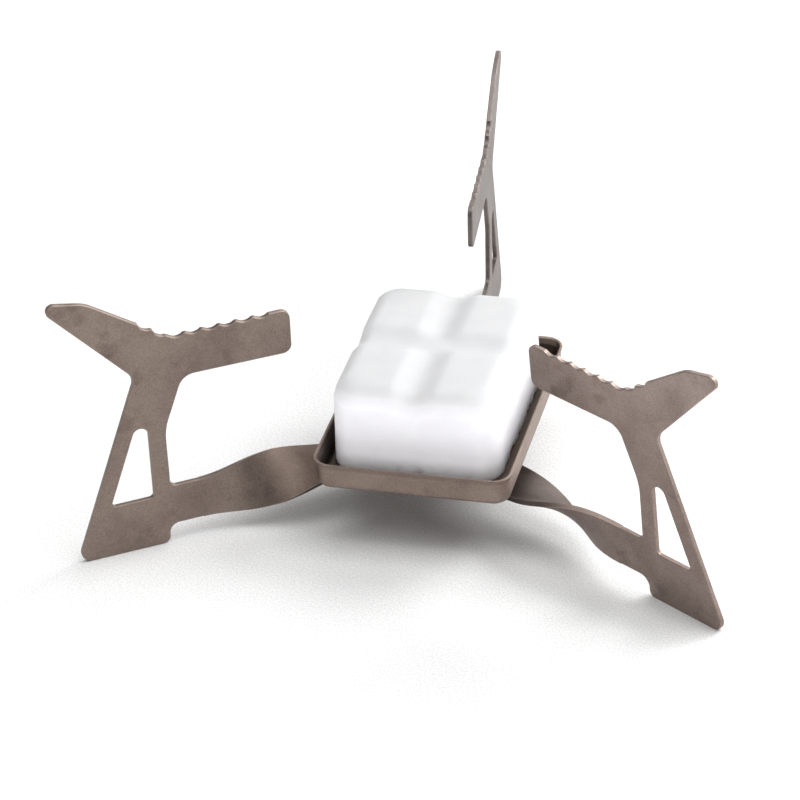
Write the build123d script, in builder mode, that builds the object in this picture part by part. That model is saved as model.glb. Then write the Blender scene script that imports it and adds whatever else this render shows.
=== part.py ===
"""Folding titanium stove for a solid fuel tablet.

Three alike sheet legs turn on one rivet under a shallow fuel tray. Each leg is a flat blade
standing on edge, joined to the rivet by an arm with almost a quarter twist. The sheet springs
back a little after it is twisted, so the blades lean by a couple of degrees. Every piece is
first made around the rivet, with the tray's long side along Y and the floor at Z = 0. The
finished pieces are then moved so that the origin is the middle of the footprint.
"""

from build123d import *
from math import cos, radians, sin
import os

# ---- driving dimensions, mm ----
leg_sheet = 0.8
tray_sheet = 0.5
running_gap = 0.05
burr_break = 0.12

leg_angles = {"rear_leg": 95.8, "left_leg": 213.3, "right_leg": -31.1}
strip_levels = {"left_leg": 8.2, "rear_leg": 7.35, "right_leg": 6.5}

support_height = 34.95
arm_top = 9.7
arm_bottom = 3.1
blade_offset = 1.4
blade_lean = 2.1
foot_inner = 43.4
foot_outer = 57.9
foot_trim = 0.05
horn_tip = (59.5, 44.75)
horn_corner = (51.85, 43.1)
slope_foot = (40.2, support_height)
horn_inner_end = 21.75
horn_underside = 27.75

notch_pitch = 2.6
notch_depth = 0.42
notch_radius = 1.65
crest_round = 0.4
first_notch = 26.0
level_notches = 6
slope_notches = 2

twist_start = 14.5
twist_end = 38.0
strip_width = 7.4
middle_width = 8.3
strip_offset = 0.35
eye_radius = 4.6
twist_steps = 8

tray_width = 30.2
tray_length = 40.2
tray_bottom = 10.0
tray_rim = 14.6
tray_corner = 2.9
tray_heel = 1.1
tray_draft = 2.0
lip_height = 0.9
lip_flare = 20.0
boss_radius = 4.6

rivet_shank = 1.5
rivet_head = 3.1
rivet_head_edge = 0.25
rivet_dome = 0.7
washer_radius = 3.4
washer_thick = 0.5
clench_radius = 2.3
clench_height = 0.7
clench_round = 0.3
rivet_bore = 0.8
rivet_bore_depth = 2.2

tablet_width = 25.8
tablet_length = 32.4
tablet_height = 13.8
tablet_draft = 0.6
tablet_corner = 3.6
tablet_crown = 1.8
tablet_place = (-0.6, 1.4)
groove_width = 4.0
groove_depth = 1.5

# ---- levels that follow from the stack on the rivet ----
boss_underside = strip_levels["left_leg"] + leg_sheet / 2 + running_gap
boss_floor = boss_underside + tray_sheet
tray_floor = tray_bottom + tray_sheet
washer_top = strip_levels["right_leg"] - leg_sheet / 2 - running_gap
washer_bottom = washer_top - washer_thick
blade_middle = (arm_top + arm_bottom) / 2


def smooth(t):
    """Ease from 0 to 1 with no corner at either end."""
    return t * t * (3 - 2 * t)


def strip_section(distance, level):
    """Plane, width and place of the arm's cross-section at a distance from the rivet."""
    t = min(max((distance - twist_start) / (twist_end - twist_start), 0), 1)
    turn = smooth(t)
    blade_width = arm_top - arm_bottom
    if t < 0.5:
        width = strip_width + (middle_width - strip_width) * smooth(2 * t)
    else:
        width = middle_width + (blade_width - middle_width) * smooth(2 * t - 1)
    height = level + (blade_middle - level) * turn
    side = -(strip_offset + (blade_offset - strip_offset) * turn)
    angle = radians((90 - blade_lean) * turn)
    plane = Plane(
        origin=(distance, side, height),
        x_dir=(0, -cos(angle), sin(angle)),
        z_dir=(1, 0, 0),
    )
    return plane, width


def notch_crests(vertices):
    """The sharp points between neighbouring notches of the level row."""
    first = first_notch + notch_pitch * 0.3
    last = first_notch + notch_pitch * (level_notches - 1.3)
    return [
        point
        for point in vertices
        if first < point.X < last and abs(point.Y - support_height) < notch_depth / 2
    ]


def make_leg(level):
    """One leg pointing along +X: the eye round the rivet, the twisted arm and the blade."""
    lean = radians(blade_lean)
    blade_plane = Plane(
        origin=(0, blade_middle * sin(lean) - blade_offset, blade_middle * (1 - cos(lean))),
        x_dir=(1, 0, 0),
        z_dir=(0, -cos(lean), -sin(lean)),
    )
    outline = [
        ((twist_end, arm_top), 0),
        ((42.5, arm_top), 0.9),
        ((42.3, 19.5), 9.0),
        ((38.8, horn_underside + 0.2), 2.7),
        ((horn_inner_end + 0.2, horn_underside), 1.4),
        ((horn_inner_end, support_height), 1.4),
        (slope_foot, 1.0),
        (horn_corner, 5.0),
        (horn_tip, 1.1),
        ((46.0, 29.3), 2.3),
        ((foot_outer, -foot_trim), 1.6),
        ((foot_inner, -foot_trim), 1.2),
        ((foot_inner - 0.1, arm_bottom), 1.6),
        ((twist_end, arm_bottom), 0),
    ]
    slope = Vector(*horn_corner) - Vector(*slope_foot)
    slope = slope.normalized()
    slope_out = Vector(-slope.Y, slope.X)
    with BuildPart() as blade:
        with BuildSketch(blade_plane) as face:
            with BuildLine():
                FilletPolyline(
                    *[point for point, radius in outline],
                    radius=[radius for point, radius in outline[1:-1]],
                )
                Line(outline[-1][0], outline[0][0])
            make_face()
            # window through the stem
            with BuildSketch(mode=Mode.PRIVATE) as window:
                with BuildLine():
                    FilletPolyline(
                        (45.2, 8.4), (51.8, 8.4), (44.75, 25.9),
                        radius=[0.65, 0.5, 1.18], close=True,
                    )
                make_face()
            add(window.sketch, mode=Mode.SUBTRACT)
            # round notches that keep a pot from sliding
            notch_lift = notch_radius - notch_depth
            for k in range(level_notches):
                with Locations((first_notch + k * notch_pitch, support_height + notch_lift)):
                    Circle(notch_radius, mode=Mode.SUBTRACT)
            for k in range(slope_notches):
                along = slope * (1.6 + k * notch_pitch)
                centre = Vector(*slope_foot) + along + slope_out * notch_lift
                with Locations((centre.X, centre.Y)):
                    Circle(notch_radius, mode=Mode.SUBTRACT)
            crests = notch_crests(face.vertices())
            fillet(crests, crest_round)
        extrude(amount=leg_sheet / 2, both=True)
        rims = blade.faces().sort_by(SortBy.AREA)[-2:].edges()
        rims = rims.filter_by_position(Axis.X, twist_end + 0.1, horn_tip[0])
        chamfer(rims, burr_break)
        # the foot is trimmed level so that it stands flat in spite of the lean
        split(bisect_by=Plane.XY, keep=Keep.TOP)

    with BuildPart() as leg:
        add(blade.part)
        # arm: flat under the tray, turned on edge where it meets the blade
        for k in range(twist_steps + 1):
            at = twist_start + (twist_end - twist_start) * k / twist_steps
            plane, width = strip_section(at, level)
            with BuildSketch(plane):
                Rectangle(width, leg_sheet)
        loft()
        # eye round the rivet
        with BuildSketch(Plane.XY.offset(level)):
            with Locations((twist_start / 2, -strip_offset)):
                Rectangle(twist_start, strip_width)
            Circle(eye_radius)
        extrude(amount=leg_sheet / 2, both=True)
        with BuildSketch(Plane.XY.offset(level)):
            Circle(rivet_shank + running_gap)
        extrude(amount=leg_sheet, both=True, mode=Mode.SUBTRACT)
    return leg.part


def pan_shape(inset):
    """Solid filling the pan up to its rim, smaller all round by the inset."""
    with BuildPart() as shape:
        with BuildSketch(Plane.XY.offset(tray_rim)):
            RectangleRounded(tray_width - 2 * inset, tray_length - 2 * inset, tray_corner - inset)
        extrude(amount=-lip_height, taper=lip_flare)
        lip_base = shape.faces().sort_by(Axis.Z)[0]
        wall_height = tray_rim - lip_height - tray_bottom - inset
        extrude(lip_base, amount=wall_height, taper=tray_draft)
        fillet(shape.faces().sort_by(Axis.Z)[0].edges(), tray_heel - inset)
    return shape.part


def make_tray():
    """Shallow pressed pan with a boss in its floor that hides the rivet's head."""
    outer = pan_shape(0)
    inner = pan_shape(tray_sheet)
    with BuildPart() as tray:
        add(outer)
        add(inner, mode=Mode.SUBTRACT)
        with BuildSketch(Plane.XY.offset(boss_underside)):
            Circle(boss_radius + tray_sheet)
        extrude(amount=tray_floor - boss_underside)
        with BuildSketch(Plane.XY.offset(boss_floor)):
            Circle(boss_radius)
        extrude(amount=tray_floor - boss_floor, mode=Mode.SUBTRACT)
        with BuildSketch(Plane.XY.offset(boss_underside)):
            Circle(rivet_shank + running_gap)
        extrude(amount=tray_sheet, mode=Mode.SUBTRACT)
        chamfer(tray.faces().sort_by(Axis.Z)[-1].edges(), burr_break)
    return tray.part


def make_washer():
    """Flat washer under the lowest arm."""
    with BuildPart() as washer:
        with BuildSketch(Plane.XY.offset(washer_bottom)):
            Circle(washer_radius)
            Circle(rivet_shank + running_gap, mode=Mode.SUBTRACT)
        extrude(amount=washer_thick)
    return washer.part


def make_rivet():
    """Semi-tubular rivet: domed head in the boss, shank, and the end rolled over the washer."""
    head_edge = boss_floor + rivet_head_edge
    head_top = head_edge + rivet_dome
    dome_radius = (rivet_head**2 + rivet_dome**2) / (2 * rivet_dome)
    end = washer_bottom - clench_height
    bore_end = end + rivet_bore_depth
    with BuildPart() as rivet:
        with BuildSketch(Plane.XZ):
            with BuildLine():
                Polyline(
                    (0, head_top),
                    (0, bore_end),
                    (rivet_bore, bore_end),
                    (rivet_bore, end),
                    (clench_radius - clench_round, end),
                    (clench_radius, end + clench_round),
                    (clench_radius, washer_bottom),
                    (rivet_shank, washer_bottom),
                    (rivet_shank, boss_floor),
                    (rivet_head, boss_floor),
                    (rivet_head, head_edge),
                )
                RadiusArc((rivet_head, head_edge), (0, head_top), -dome_radius)
            make_face()
        revolve(axis=Axis.Z)
    return rivet.part


def make_tablet():
    """Pressed fuel tablet of four joined quarters, a little narrower at its crowned top."""
    top = tray_floor + tablet_height
    left, front = tablet_place
    with BuildPart() as tablet:
        with BuildSketch(Plane.XY.offset(tray_floor)):
            with Locations(tablet_place):
                RectangleRounded(tablet_width, tablet_length, tablet_corner)
        with BuildSketch(Plane.XY.offset(top)):
            with Locations(tablet_place):
                RectangleRounded(
                    tablet_width - tablet_draft, tablet_length - tablet_draft, tablet_corner
                )
        loft()
        fillet(tablet.faces().sort_by(Axis.Z)[-1].edges(), tablet_crown)
        # snap grooves between the quarters
        across = Plane(origin=(left, front, 0), x_dir=(1, 0, 0), z_dir=(0, -1, 0))
        along = Plane(origin=(left, front, 0), x_dir=(0, 1, 0), z_dir=(1, 0, 0))
        for plane in (across, along):
            with BuildSketch(plane):
                with BuildLine():
                    ThreePointArc(
                        (-groove_width / 2, top + 0.1),
                        (0, top - groove_depth),
                        (groove_width / 2, top + 0.1),
                    )
                    Line((groove_width / 2, top + 0.1), (-groove_width / 2, top + 0.1))
                make_face()
            extrude(amount=tablet_length, both=True, mode=Mode.SUBTRACT)
    return tablet.part


pieces = {
    "tray": make_tray(),
    "pivot_rivet": make_rivet(),
    "clench_washer": make_washer(),
    "fuel_tablet": make_tablet(),
}
for name, angle in leg_angles.items():
    pieces[name] = make_leg(strip_levels[name]).rotate(Axis.Z, angle)

footprint = pieces["tray"].bounding_box()
for piece in pieces.values():
    footprint = footprint.add(piece.bounding_box())
middle = footprint.center()
os.makedirs("parts", exist_ok=True)
for name, piece in pieces.items():
    piece = piece.moved(Location((-middle.X, -middle.Y, 0)))
    piece.label = name
    export_step(piece, f"parts/{name}.step")
print("rivet axis at", round(-middle.X, 3), round(-middle.Y, 3))
print("overall size", [round(side, 2) for side in footprint.size])
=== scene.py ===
"""Looks of a folding titanium stove: bead-blasted sheet legs, pressed tray, white fuel tablet."""

from math import cos, pi, radians, sin, sqrt

import bmesh
import bpy
from mathutils import Matrix, Vector, noise


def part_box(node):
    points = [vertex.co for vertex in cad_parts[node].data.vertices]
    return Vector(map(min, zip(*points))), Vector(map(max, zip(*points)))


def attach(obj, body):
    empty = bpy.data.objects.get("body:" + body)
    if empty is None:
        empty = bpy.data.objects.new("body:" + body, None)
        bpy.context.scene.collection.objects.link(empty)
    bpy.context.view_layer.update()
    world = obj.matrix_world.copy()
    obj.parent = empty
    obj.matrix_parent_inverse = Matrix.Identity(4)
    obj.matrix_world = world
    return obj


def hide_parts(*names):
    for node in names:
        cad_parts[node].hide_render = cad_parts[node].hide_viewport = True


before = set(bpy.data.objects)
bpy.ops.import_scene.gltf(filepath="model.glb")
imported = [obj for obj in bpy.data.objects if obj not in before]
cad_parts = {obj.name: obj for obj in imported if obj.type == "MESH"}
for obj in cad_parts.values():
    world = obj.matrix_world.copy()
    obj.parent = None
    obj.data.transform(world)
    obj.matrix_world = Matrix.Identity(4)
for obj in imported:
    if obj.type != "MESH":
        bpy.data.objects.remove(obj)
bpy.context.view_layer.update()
MM = 0.001
rivet_low, rivet_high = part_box("pivot_rivet")
pivot = (rivet_low + rivet_high) / 2  # every leg and the tray turn about this point


def linear(hex_colour):
    """Linear colour with alpha 1 from an sRGB hex value."""
    values = [int(hex_colour[i : i + 2], 16) / 255 for i in (1, 3, 5)]
    return [v / 12.92 if v <= 0.04045 else ((v + 0.055) / 1.055) ** 2.4 for v in values] + [1.0]


def add_node(tree, kind, inputs=None, **settings):
    """A shader node with its settings, its input values and the sockets linked into it."""
    made = tree.nodes.new(kind)
    for name, value in settings.items():
        setattr(made, name, value)
    for name, value in (inputs or {}).items():
        if isinstance(value, bpy.types.NodeSocket):
            tree.links.new(value, made.inputs[name])
        else:
            made.inputs[name].default_value = value
    return made


def new_material(name):
    """An empty node material, its node tree, and the piece's own coordinates in millimetres."""
    material = bpy.data.materials.new(name)
    material.use_nodes = True
    tree = material.node_tree
    tree.nodes.clear()
    coordinates = add_node(tree, "ShaderNodeTexCoord")
    in_mm = add_node(
        tree,
        "ShaderNodeMapping",
        {"Vector": coordinates.outputs["Object"], "Scale": (1 / MM,) * 3},
    )
    return material, tree, in_mm.outputs["Vector"]


def ramp(tree, factor, stops):
    """Colour ramp from (position, hex colour) stops."""
    made = add_node(tree, "ShaderNodeValToRGB", {"Fac": factor})
    elements = made.color_ramp.elements
    while len(elements) < len(stops):
        elements.new(0.5)
    for element, (position, colour) in zip(elements, stops):
        element.position = position
        element.color = linear(colour)
    return made.outputs["Color"]


def finish_material(tree, shader):
    """Wire the finished shader to the material's surface."""
    add_node(tree, "ShaderNodeOutputMaterial", {"Surface": shader.outputs["BSDF"]})


# ---- finishes ----


def blasted_titanium(name, tones, seed, shade_and_stain_tint, low_painted_shade="#e3e1e0", corner_shade=0.0):
    """Bead-blasted titanium sheet.

    Blasting gives the eye a satin, even-grained warm grey with no mirror in it. Cloudy tones
    and a few stains break it up, and each cut edge has a painted highlight, a bright line. The
    tints by reach and by height are painted shade and light, with a painted reflection tint on
    the right leg and some real heat stain near the rivet; apart from that stain they are not
    known to be in the metal. The tints by reach and by height are tone corrections set by eye.
    """
    material, tree, unshifted = new_material(name)
    shifted = add_node(tree, "ShaderNodeMapping", {"Vector": unshifted, "Location": (seed,) * 3})
    place = shifted.outputs["Vector"]

    def noise_field(scale, detail, roughness):
        inputs = {"Vector": place, "Scale": scale, "Detail": detail, "Roughness": roughness}
        return add_node(tree, "ShaderNodeTexNoise", inputs).outputs["Fac"]

    def multiply(under, over, factor):
        inputs = {"Factor": factor, "A": under, "B": over}
        settings = {"data_type": "RGBA", "blend_type": "MULTIPLY"}
        return add_node(tree, "ShaderNodeMix", inputs, **settings).outputs["Result"]

    # cloudy tones 4 to 12 mm across, so that no face is one flat colour
    colour = ramp(tree, noise_field(0.14, 5.0, 0.62), tones)
    # a few dark stains of 2 to 4 mm
    stains = ramp(tree, noise_field(0.26, 3.0, 0.5), [(0.58, "#ffffff"), (0.76, "#b5adab")])
    colour = multiply(colour, stains, 0.55)
    # blasted grain, drawn 0.3 mm across: the real 0.05 to 0.1 mm would not show
    grain = noise_field(3.8, 4.0, 0.75)
    colour = multiply(colour, ramp(tree, grain, [(0.34, "#b4aeab"), (0.64, "#ffffff")]), 0.55)
    # pits and specks of 0.15 mm, which break up the evenness close by
    specks = ramp(tree, noise_field(6.5, 1.0, 0.5), [(0.25, "#7d7674"), (0.36, "#ffffff")])
    colour = multiply(colour, specks, 0.3)
    # tinted within 34 mm of the rivet: painted shade where the tray shades the legs and, on the
    # right leg, a painted reflection tint, over some real heat stain
    from_rivet = add_node(
        tree,
        "ShaderNodeVectorMath",
        {0: unshifted, 1: (-pivot.x / MM, -pivot.y / MM, 0)},
        operation="ADD",
    )
    reach = add_node(
        tree, "ShaderNodeVectorMath", {0: from_rivet.outputs["Vector"]}, operation="LENGTH"
    )
    shade_and_stain_amount = add_node(
        tree,
        "ShaderNodeMapRange",
        {"Value": reach.outputs["Value"], "From Min": 34.0, "From Max": 18.0, "To Max": 0.85},
    )
    colour = multiply(colour, linear(shade_and_stain_tint), shade_and_stain_amount.outputs["Result"])
    # painted shade, a little darker below 20 mm, and painted light, paler towards the top
    height = add_node(tree, "ShaderNodeSeparateXYZ", {"Vector": unshifted})
    paler = add_node(
        tree, "ShaderNodeMapRange", {"Value": height.outputs["Z"], "From Max": 36.0}
    )
    tone = ramp(tree, paler.outputs["Result"], [(0.55, low_painted_shade), (1.0, "#ffffff")])
    colour = multiply(colour, tone, 1.0)
    # painted shade in the sheltered corners of the pan
    if corner_shade:
        shelter = add_node(
            tree, "ShaderNodeAmbientOcclusion", {"Distance": 7 * MM}, samples=8
        )
        dark = ramp(tree, shelter.outputs["AO"], [(0.35, "#4f4842"), (0.85, "#ffffff")])
        colour = multiply(colour, dark, corner_shade)
    # painted highlight along the cut edges, a bright line of about 0.2 mm
    bevelled = add_node(tree, "ShaderNodeBevel", {"Radius": 0.22 * MM}, samples=6)
    geometry = add_node(tree, "ShaderNodeNewGeometry")
    agree = add_node(
        tree,
        "ShaderNodeVectorMath",
        {0: bevelled.outputs["Normal"], 1: geometry.outputs["Normal"]},
        operation="DOT_PRODUCT",
    )
    edge_highlight = add_node(
        tree,
        "ShaderNodeMapRange",
        {"Value": agree.outputs["Value"], "From Min": 0.99, "From Max": 0.86, "To Max": 0.55},
    )
    colour = add_node(
        tree,
        "ShaderNodeMix",
        {"Factor": edge_highlight.outputs["Result"], "A": colour, "B": linear("#b5a89f")},
        data_type="RGBA",
    ).outputs["Result"]
    rough = add_node(
        tree, "ShaderNodeMapRange", {"Value": grain, "To Min": 0.40, "To Max": 0.58}
    )
    bump = add_node(
        tree, "ShaderNodeBump", {"Height": grain, "Strength": 0.4, "Distance": 0.03 * MM}
    )
    shader = add_node(
        tree,
        "ShaderNodeBsdfPrincipled",
        {
            "Base Color": colour,
            "Metallic": 1.0,
            "Roughness": rough.outputs["Result"],
            "Normal": bump.outputs["Normal"],
        },
    )
    finish_material(tree, shader)
    return material


def stainless_rivet():
    """Cold-headed stainless steel: the brightest metal here, unevenly polished by the die."""
    material, tree, place = new_material("cold_headed_stainless_steel")
    polish = add_node(
        tree, "ShaderNodeTexNoise", {"Vector": place, "Scale": 3.0, "Detail": 4.0}
    )
    base = ramp(tree, polish.outputs["Fac"], [(0.3, "#a9a6a2"), (0.7, "#c9c7c4")])
    rough = add_node(
        tree,
        "ShaderNodeMapRange",
        {"Value": polish.outputs["Fac"], "To Min": 0.22, "To Max": 0.42},
    )
    shader = add_node(
        tree,
        "ShaderNodeBsdfPrincipled",
        {"Base Color": base, "Metallic": 1.0, "Roughness": rough.outputs["Result"]},
    )
    finish_material(tree, shader)
    return material


def pressed_fuel():
    """Pressed hexamine: a waxy white that light bleeds into, so its edges stay soft.

    The top is toned down from the sides so that strong light from above does not burn it out.
    That is a correction and not a known difference in the tablet.
    """
    material, tree, place = new_material("pressed_hexamine")
    cloud = add_node(
        tree, "ShaderNodeTexNoise", {"Vector": place, "Scale": 0.25, "Detail": 4.0}
    )
    top_colour = ramp(tree, cloud.outputs["Fac"], [(0.3, "#d1d2d3"), (0.7, "#d6d6d7")])
    side_colour = ramp(tree, cloud.outputs["Fac"], [(0.3, "#eeedf1"), (0.7, "#f4f3f7")])
    coordinates = add_node(tree, "ShaderNodeTexCoord")
    facing = add_node(tree, "ShaderNodeSeparateXYZ", {"Vector": coordinates.outputs["Normal"]})
    upward = add_node(
        tree,
        "ShaderNodeMapRange",
        {"Value": facing.outputs["Z"], "From Min": 0.1, "From Max": 0.9},
    )
    colour = add_node(
        tree,
        "ShaderNodeMix",
        {"Factor": upward.outputs["Result"], "A": side_colour, "B": top_colour},
        data_type="RGBA",
    )
    # pressed crystals of about 0.3 mm, 0.05 mm proud
    grain = add_node(
        tree, "ShaderNodeTexNoise", {"Vector": place, "Scale": 3.0, "Detail": 4.0}
    )
    bump = add_node(
        tree,
        "ShaderNodeBump",
        {"Height": grain.outputs["Fac"], "Strength": 0.25, "Distance": 0.05 * MM},
    )
    shader = add_node(
        tree,
        "ShaderNodeBsdfPrincipled",
        {
            "Base Color": colour.outputs["Result"],
            "Roughness": 0.6,
            "IOR": 1.5,
            "Subsurface Weight": 0.8,
            "Subsurface Radius": (1.0, 1.0, 1.0),
            "Subsurface Scale": 2.5 * MM,
            "Normal": bump.outputs["Normal"],
        },
    )
    finish_material(tree, shader)
    return material


def studio_floor():
    """Matt white card with a fine tooth that shows as speckle in the shadow."""
    material, tree, place = new_material("matt_white_card")
    tooth = add_node(
        tree, "ShaderNodeTexNoise", {"Vector": place, "Scale": 3.4, "Detail": 3.0}
    )
    base = ramp(tree, tooth.outputs["Fac"], [(0.35, "#dedede"), (0.65, "#f2f2f2")])
    bump = add_node(
        tree,
        "ShaderNodeBump",
        {"Height": tooth.outputs["Fac"], "Strength": 0.5, "Distance": 0.12 * MM},
    )
    shader = add_node(
        tree,
        "ShaderNodeBsdfPrincipled",
        {"Base Color": base, "Roughness": 0.9, "Normal": bump.outputs["Normal"]},
    )
    finish_material(tree, shader)
    return material


# ---- the tablet ----

quarter_groove = 3.9 * MM  # half the width of the cross between the quarters
groove_depth = 0.95 * MM
crown_round = 2.8 * MM  # rounding of the top edge
plan_corner = 3.6 * MM  # rounding of the four upright corners
side_draft = 0.3 * MM  # how far each side leans in at the top
grid_cuts = 63
wave_depth = 0.03 * MM  # slow unevenness of the pressed sides
wave_length = 4 * MM
chip_depth = 0.7 * MM  # crumbled lower edge
chip_height = 1.8 * MM
chip_length = 1.6 * MM


def tablet_top(x, y, inward, top):
    """Height of the pressed top: four crowned quarters that fall away to the grooves and edge."""
    across = 0.5 + 0.5 * cos(pi * min(abs(x) / quarter_groove, 1))
    along = 0.5 + 0.5 * cos(pi * min(abs(y) / quarter_groove, 1))
    groove = groove_depth * (1 - (1 - across) * (1 - along))
    short = max(crown_round - inward, 0)
    edge = crown_round - sqrt(crown_round**2 - short**2)
    return top - groove - edge


def make_tablet():
    """Rounded block with a slight draft, grown from one subdivided cube."""
    low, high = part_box("fuel_tablet")
    centre = (low + high) / 2
    half_x, half_y = (high.x - low.x) / 2, (high.y - low.y) / 2
    height = high.z - low.z
    bm = bmesh.new()
    bmesh.ops.create_cube(bm, size=2.0)
    bmesh.ops.subdivide_edges(bm, edges=bm.edges, cuts=grid_cuts, use_grid_fill=True)
    # map the cube's square layers onto rounded, drafted ones under the pressed top
    for vert in bm.verts:
        x, y, level = vert.co.x * half_x, vert.co.y * half_y, (vert.co.z + 1) / 2
        reach = max(abs(vert.co.x), abs(vert.co.y), 1e-6)
        edge = Vector((x / reach, y / reach))
        core = Vector(
            (
                min(max(edge.x, plan_corner - half_x), half_x - plan_corner),
                min(max(edge.y, plan_corner - half_y), half_y - plan_corner),
            )
        )
        out = edge - core
        if out.length > 1e-9:
            edge = core + out.normalized() * plan_corner
        shrink = 1 - side_draft * level / half_x
        flat = edge * reach * shrink
        inward = (1 - reach) * half_x
        rim = tablet_top(flat.x, flat.y, inward, height)
        z = rim * level
        vert.co = Vector((centre.x + flat.x, centre.y + flat.y, low.z + z))
    # both noises only take material away, so the tablet stays inside its block
    for vert in bm.verts:
        from_middle = (vert.co - centre) * Vector((1, 1, 0)) / half_y
        wave = wave_depth * (noise.noise(vert.co / wave_length) - 1)
        low_down = max(1 - (vert.co.z - low.z) / chip_height, 0)
        crumble = max(noise.noise(vert.co * Vector((1, 1, 0.4)) / chip_length), 0)
        vert.co += from_middle * (wave - chip_depth * crumble * low_down)
    bmesh.ops.recalc_face_normals(bm, faces=bm.faces)
    mesh = bpy.data.meshes.new("pressed_tablet")
    bm.to_mesh(mesh)
    bm.free()
    mesh.shade_smooth()
    tablet = bpy.data.objects.new("pressed_tablet", mesh)
    bpy.context.scene.collection.objects.link(tablet)
    return tablet


# ---- pieces and their finishes ----

# cloud tones of each sheet, from dark to pale, with a darker last tone on the legs; the three
# legs' lists differ by painted light and shade
left_tones = [(0.30, "#8c7d75"), (0.48, "#998a81"), (0.62, "#a29389"), (0.75, "#918279")]
right_tones = [(0.30, "#9f9087"), (0.48, "#ad9d95"), (0.62, "#b6a69e"), (0.75, "#a5958d")]
rear_tones = [(0.30, "#776f6b"), (0.48, "#817975"), (0.62, "#89817d"), (0.75, "#7b736f")]
tray_tones = [(0.30, "#8c7d74"), (0.50, "#9a8a80"), (0.72, "#a3948a")]


def dress(node, material):
    """Give a piece one finish in place of whatever it came with."""
    node.data.materials.clear()
    node.data.materials.append(material)


# the legs are alike in metal, so the tints that set them apart are painted light and shade,
# matching how each leg looks in this light
finishes = {
    "left_leg": blasted_titanium(
        "blasted_titanium_left_leg", left_tones, 5.0, shade_and_stain_tint="#8f857c", low_painted_shade="#f7f7f7"
    ),
    "right_leg": blasted_titanium(
        "blasted_titanium_right_leg", right_tones, 31.0, shade_and_stain_tint="#7f868d"
    ),
    "rear_leg": blasted_titanium(
        "blasted_titanium_rear_leg", rear_tones, 67.0, shade_and_stain_tint="#ffffff", low_painted_shade="#ffffff"
    ),
    "tray": blasted_titanium(
        "blasted_titanium_tray",
        tray_tones,
        11.0,
        shade_and_stain_tint="#ffffff",
        low_painted_shade="#ffffff",
        corner_shade=0.75,
    ),
}
for name, finish in finishes.items():
    dress(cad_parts[name], finish)
steel = stainless_rivet()
for name in ("pivot_rivet", "clench_washer"):
    dress(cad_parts[name], steel)

tablet = make_tablet()
tablet.data.materials.append(pressed_fuel())
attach(tablet, "fuel_tablet")
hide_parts("fuel_tablet")

# ---- floor, light and camera ----

floor_size = 3.0
light_distance = 0.6
light_size = 0.30
world_light = 0.29

bpy.ops.mesh.primitive_plane_add(size=floor_size, location=(0, 0, 0))
floor = bpy.context.object
floor.name = "studio_floor"
floor.data.materials.append(studio_floor())


def soft_box(name, azimuth, elevation, power):
    """Square soft box facing the stove; azimuth 0 is behind it, counter-clockwise from above."""
    turn, rise = radians(azimuth), radians(elevation)
    out = Vector((-sin(turn) * cos(rise), cos(turn) * cos(rise), sin(rise)))
    data = bpy.data.lights.new(name, "AREA")
    data.size = light_size
    data.energy = power
    light = bpy.data.objects.new(name, data)
    light.location = middle + out * light_distance
    light.rotation_mode = "QUATERNION"
    light.rotation_quaternion = out.to_track_quat("Z", "Y")
    bpy.context.scene.collection.objects.link(light)
    return light


middle = Vector((pivot.x, pivot.y, 15 * MM))
soft_box("behind_right", 312, 37, 2.95)
soft_box("behind", 0, 35, 0.80)
right_high = soft_box("right_high", 270, 62, 1.10)
soft_box("right_low", 268, 14, 0.62)
overhead = soft_box("overhead", 0, 90, 0.80)
soft_box("front_left_high", 135, 62, 0.75)
tablet_fill = soft_box("tablet_fill", 188, 26, 2.0)


def flag(light, link_state):
    """Shade the tablet from a light, or let the light reach nothing but the tablet."""
    receivers = bpy.data.collections.new(light.name + "_receivers")
    receivers.objects.link(tablet)
    receivers.collection_objects[0].light_linking.link_state = link_state
    light.light_linking.receiver_collection = receivers


# the white tablet would burn out under the light that the dark metal needs, so two lights
# leave it out and a fill light of its own reaches nothing else
flag(right_high, "EXCLUDE")
flag(overhead, "EXCLUDE")
flag(tablet_fill, "INCLUDE")

world = bpy.data.worlds.new("studio")
world.use_nodes = True
world.node_tree.nodes["Background"].inputs["Color"].default_value = (1, 1, 1, 1)
world.node_tree.nodes["Background"].inputs["Strength"].default_value = world_light
bpy.context.scene.world = world
bpy.context.scene.view_settings.view_transform = "Standard"


def make_camera():
    """Long lens from the front, a little right of centre, looking down on the tray."""
    azimuth, elevation, roll = radians(16.38), radians(33.21), radians(-3.73)
    distance = 0.5214
    target = Vector((pivot.x - 5.85 * MM, pivot.y - 1.78 * MM, 15 * MM))
    back = Vector(
        (sin(azimuth) * cos(elevation), -cos(azimuth) * cos(elevation), sin(elevation))
    )
    data = bpy.data.cameras.new("camera")
    data.sensor_width = 36
    data.lens = 155.7
    data.clip_start = 0.01
    camera = bpy.data.objects.new("camera", data)
    bpy.context.scene.collection.objects.link(camera)
    camera.location = target + back * distance
    look = (-back).to_track_quat("-Z", "Y")
    camera.rotation_mode = "QUATERNION"
    camera.rotation_quaternion = look @ Matrix.Rotation(roll, 3, "Z").to_quaternion()
    bpy.context.scene.camera = camera


make_camera()
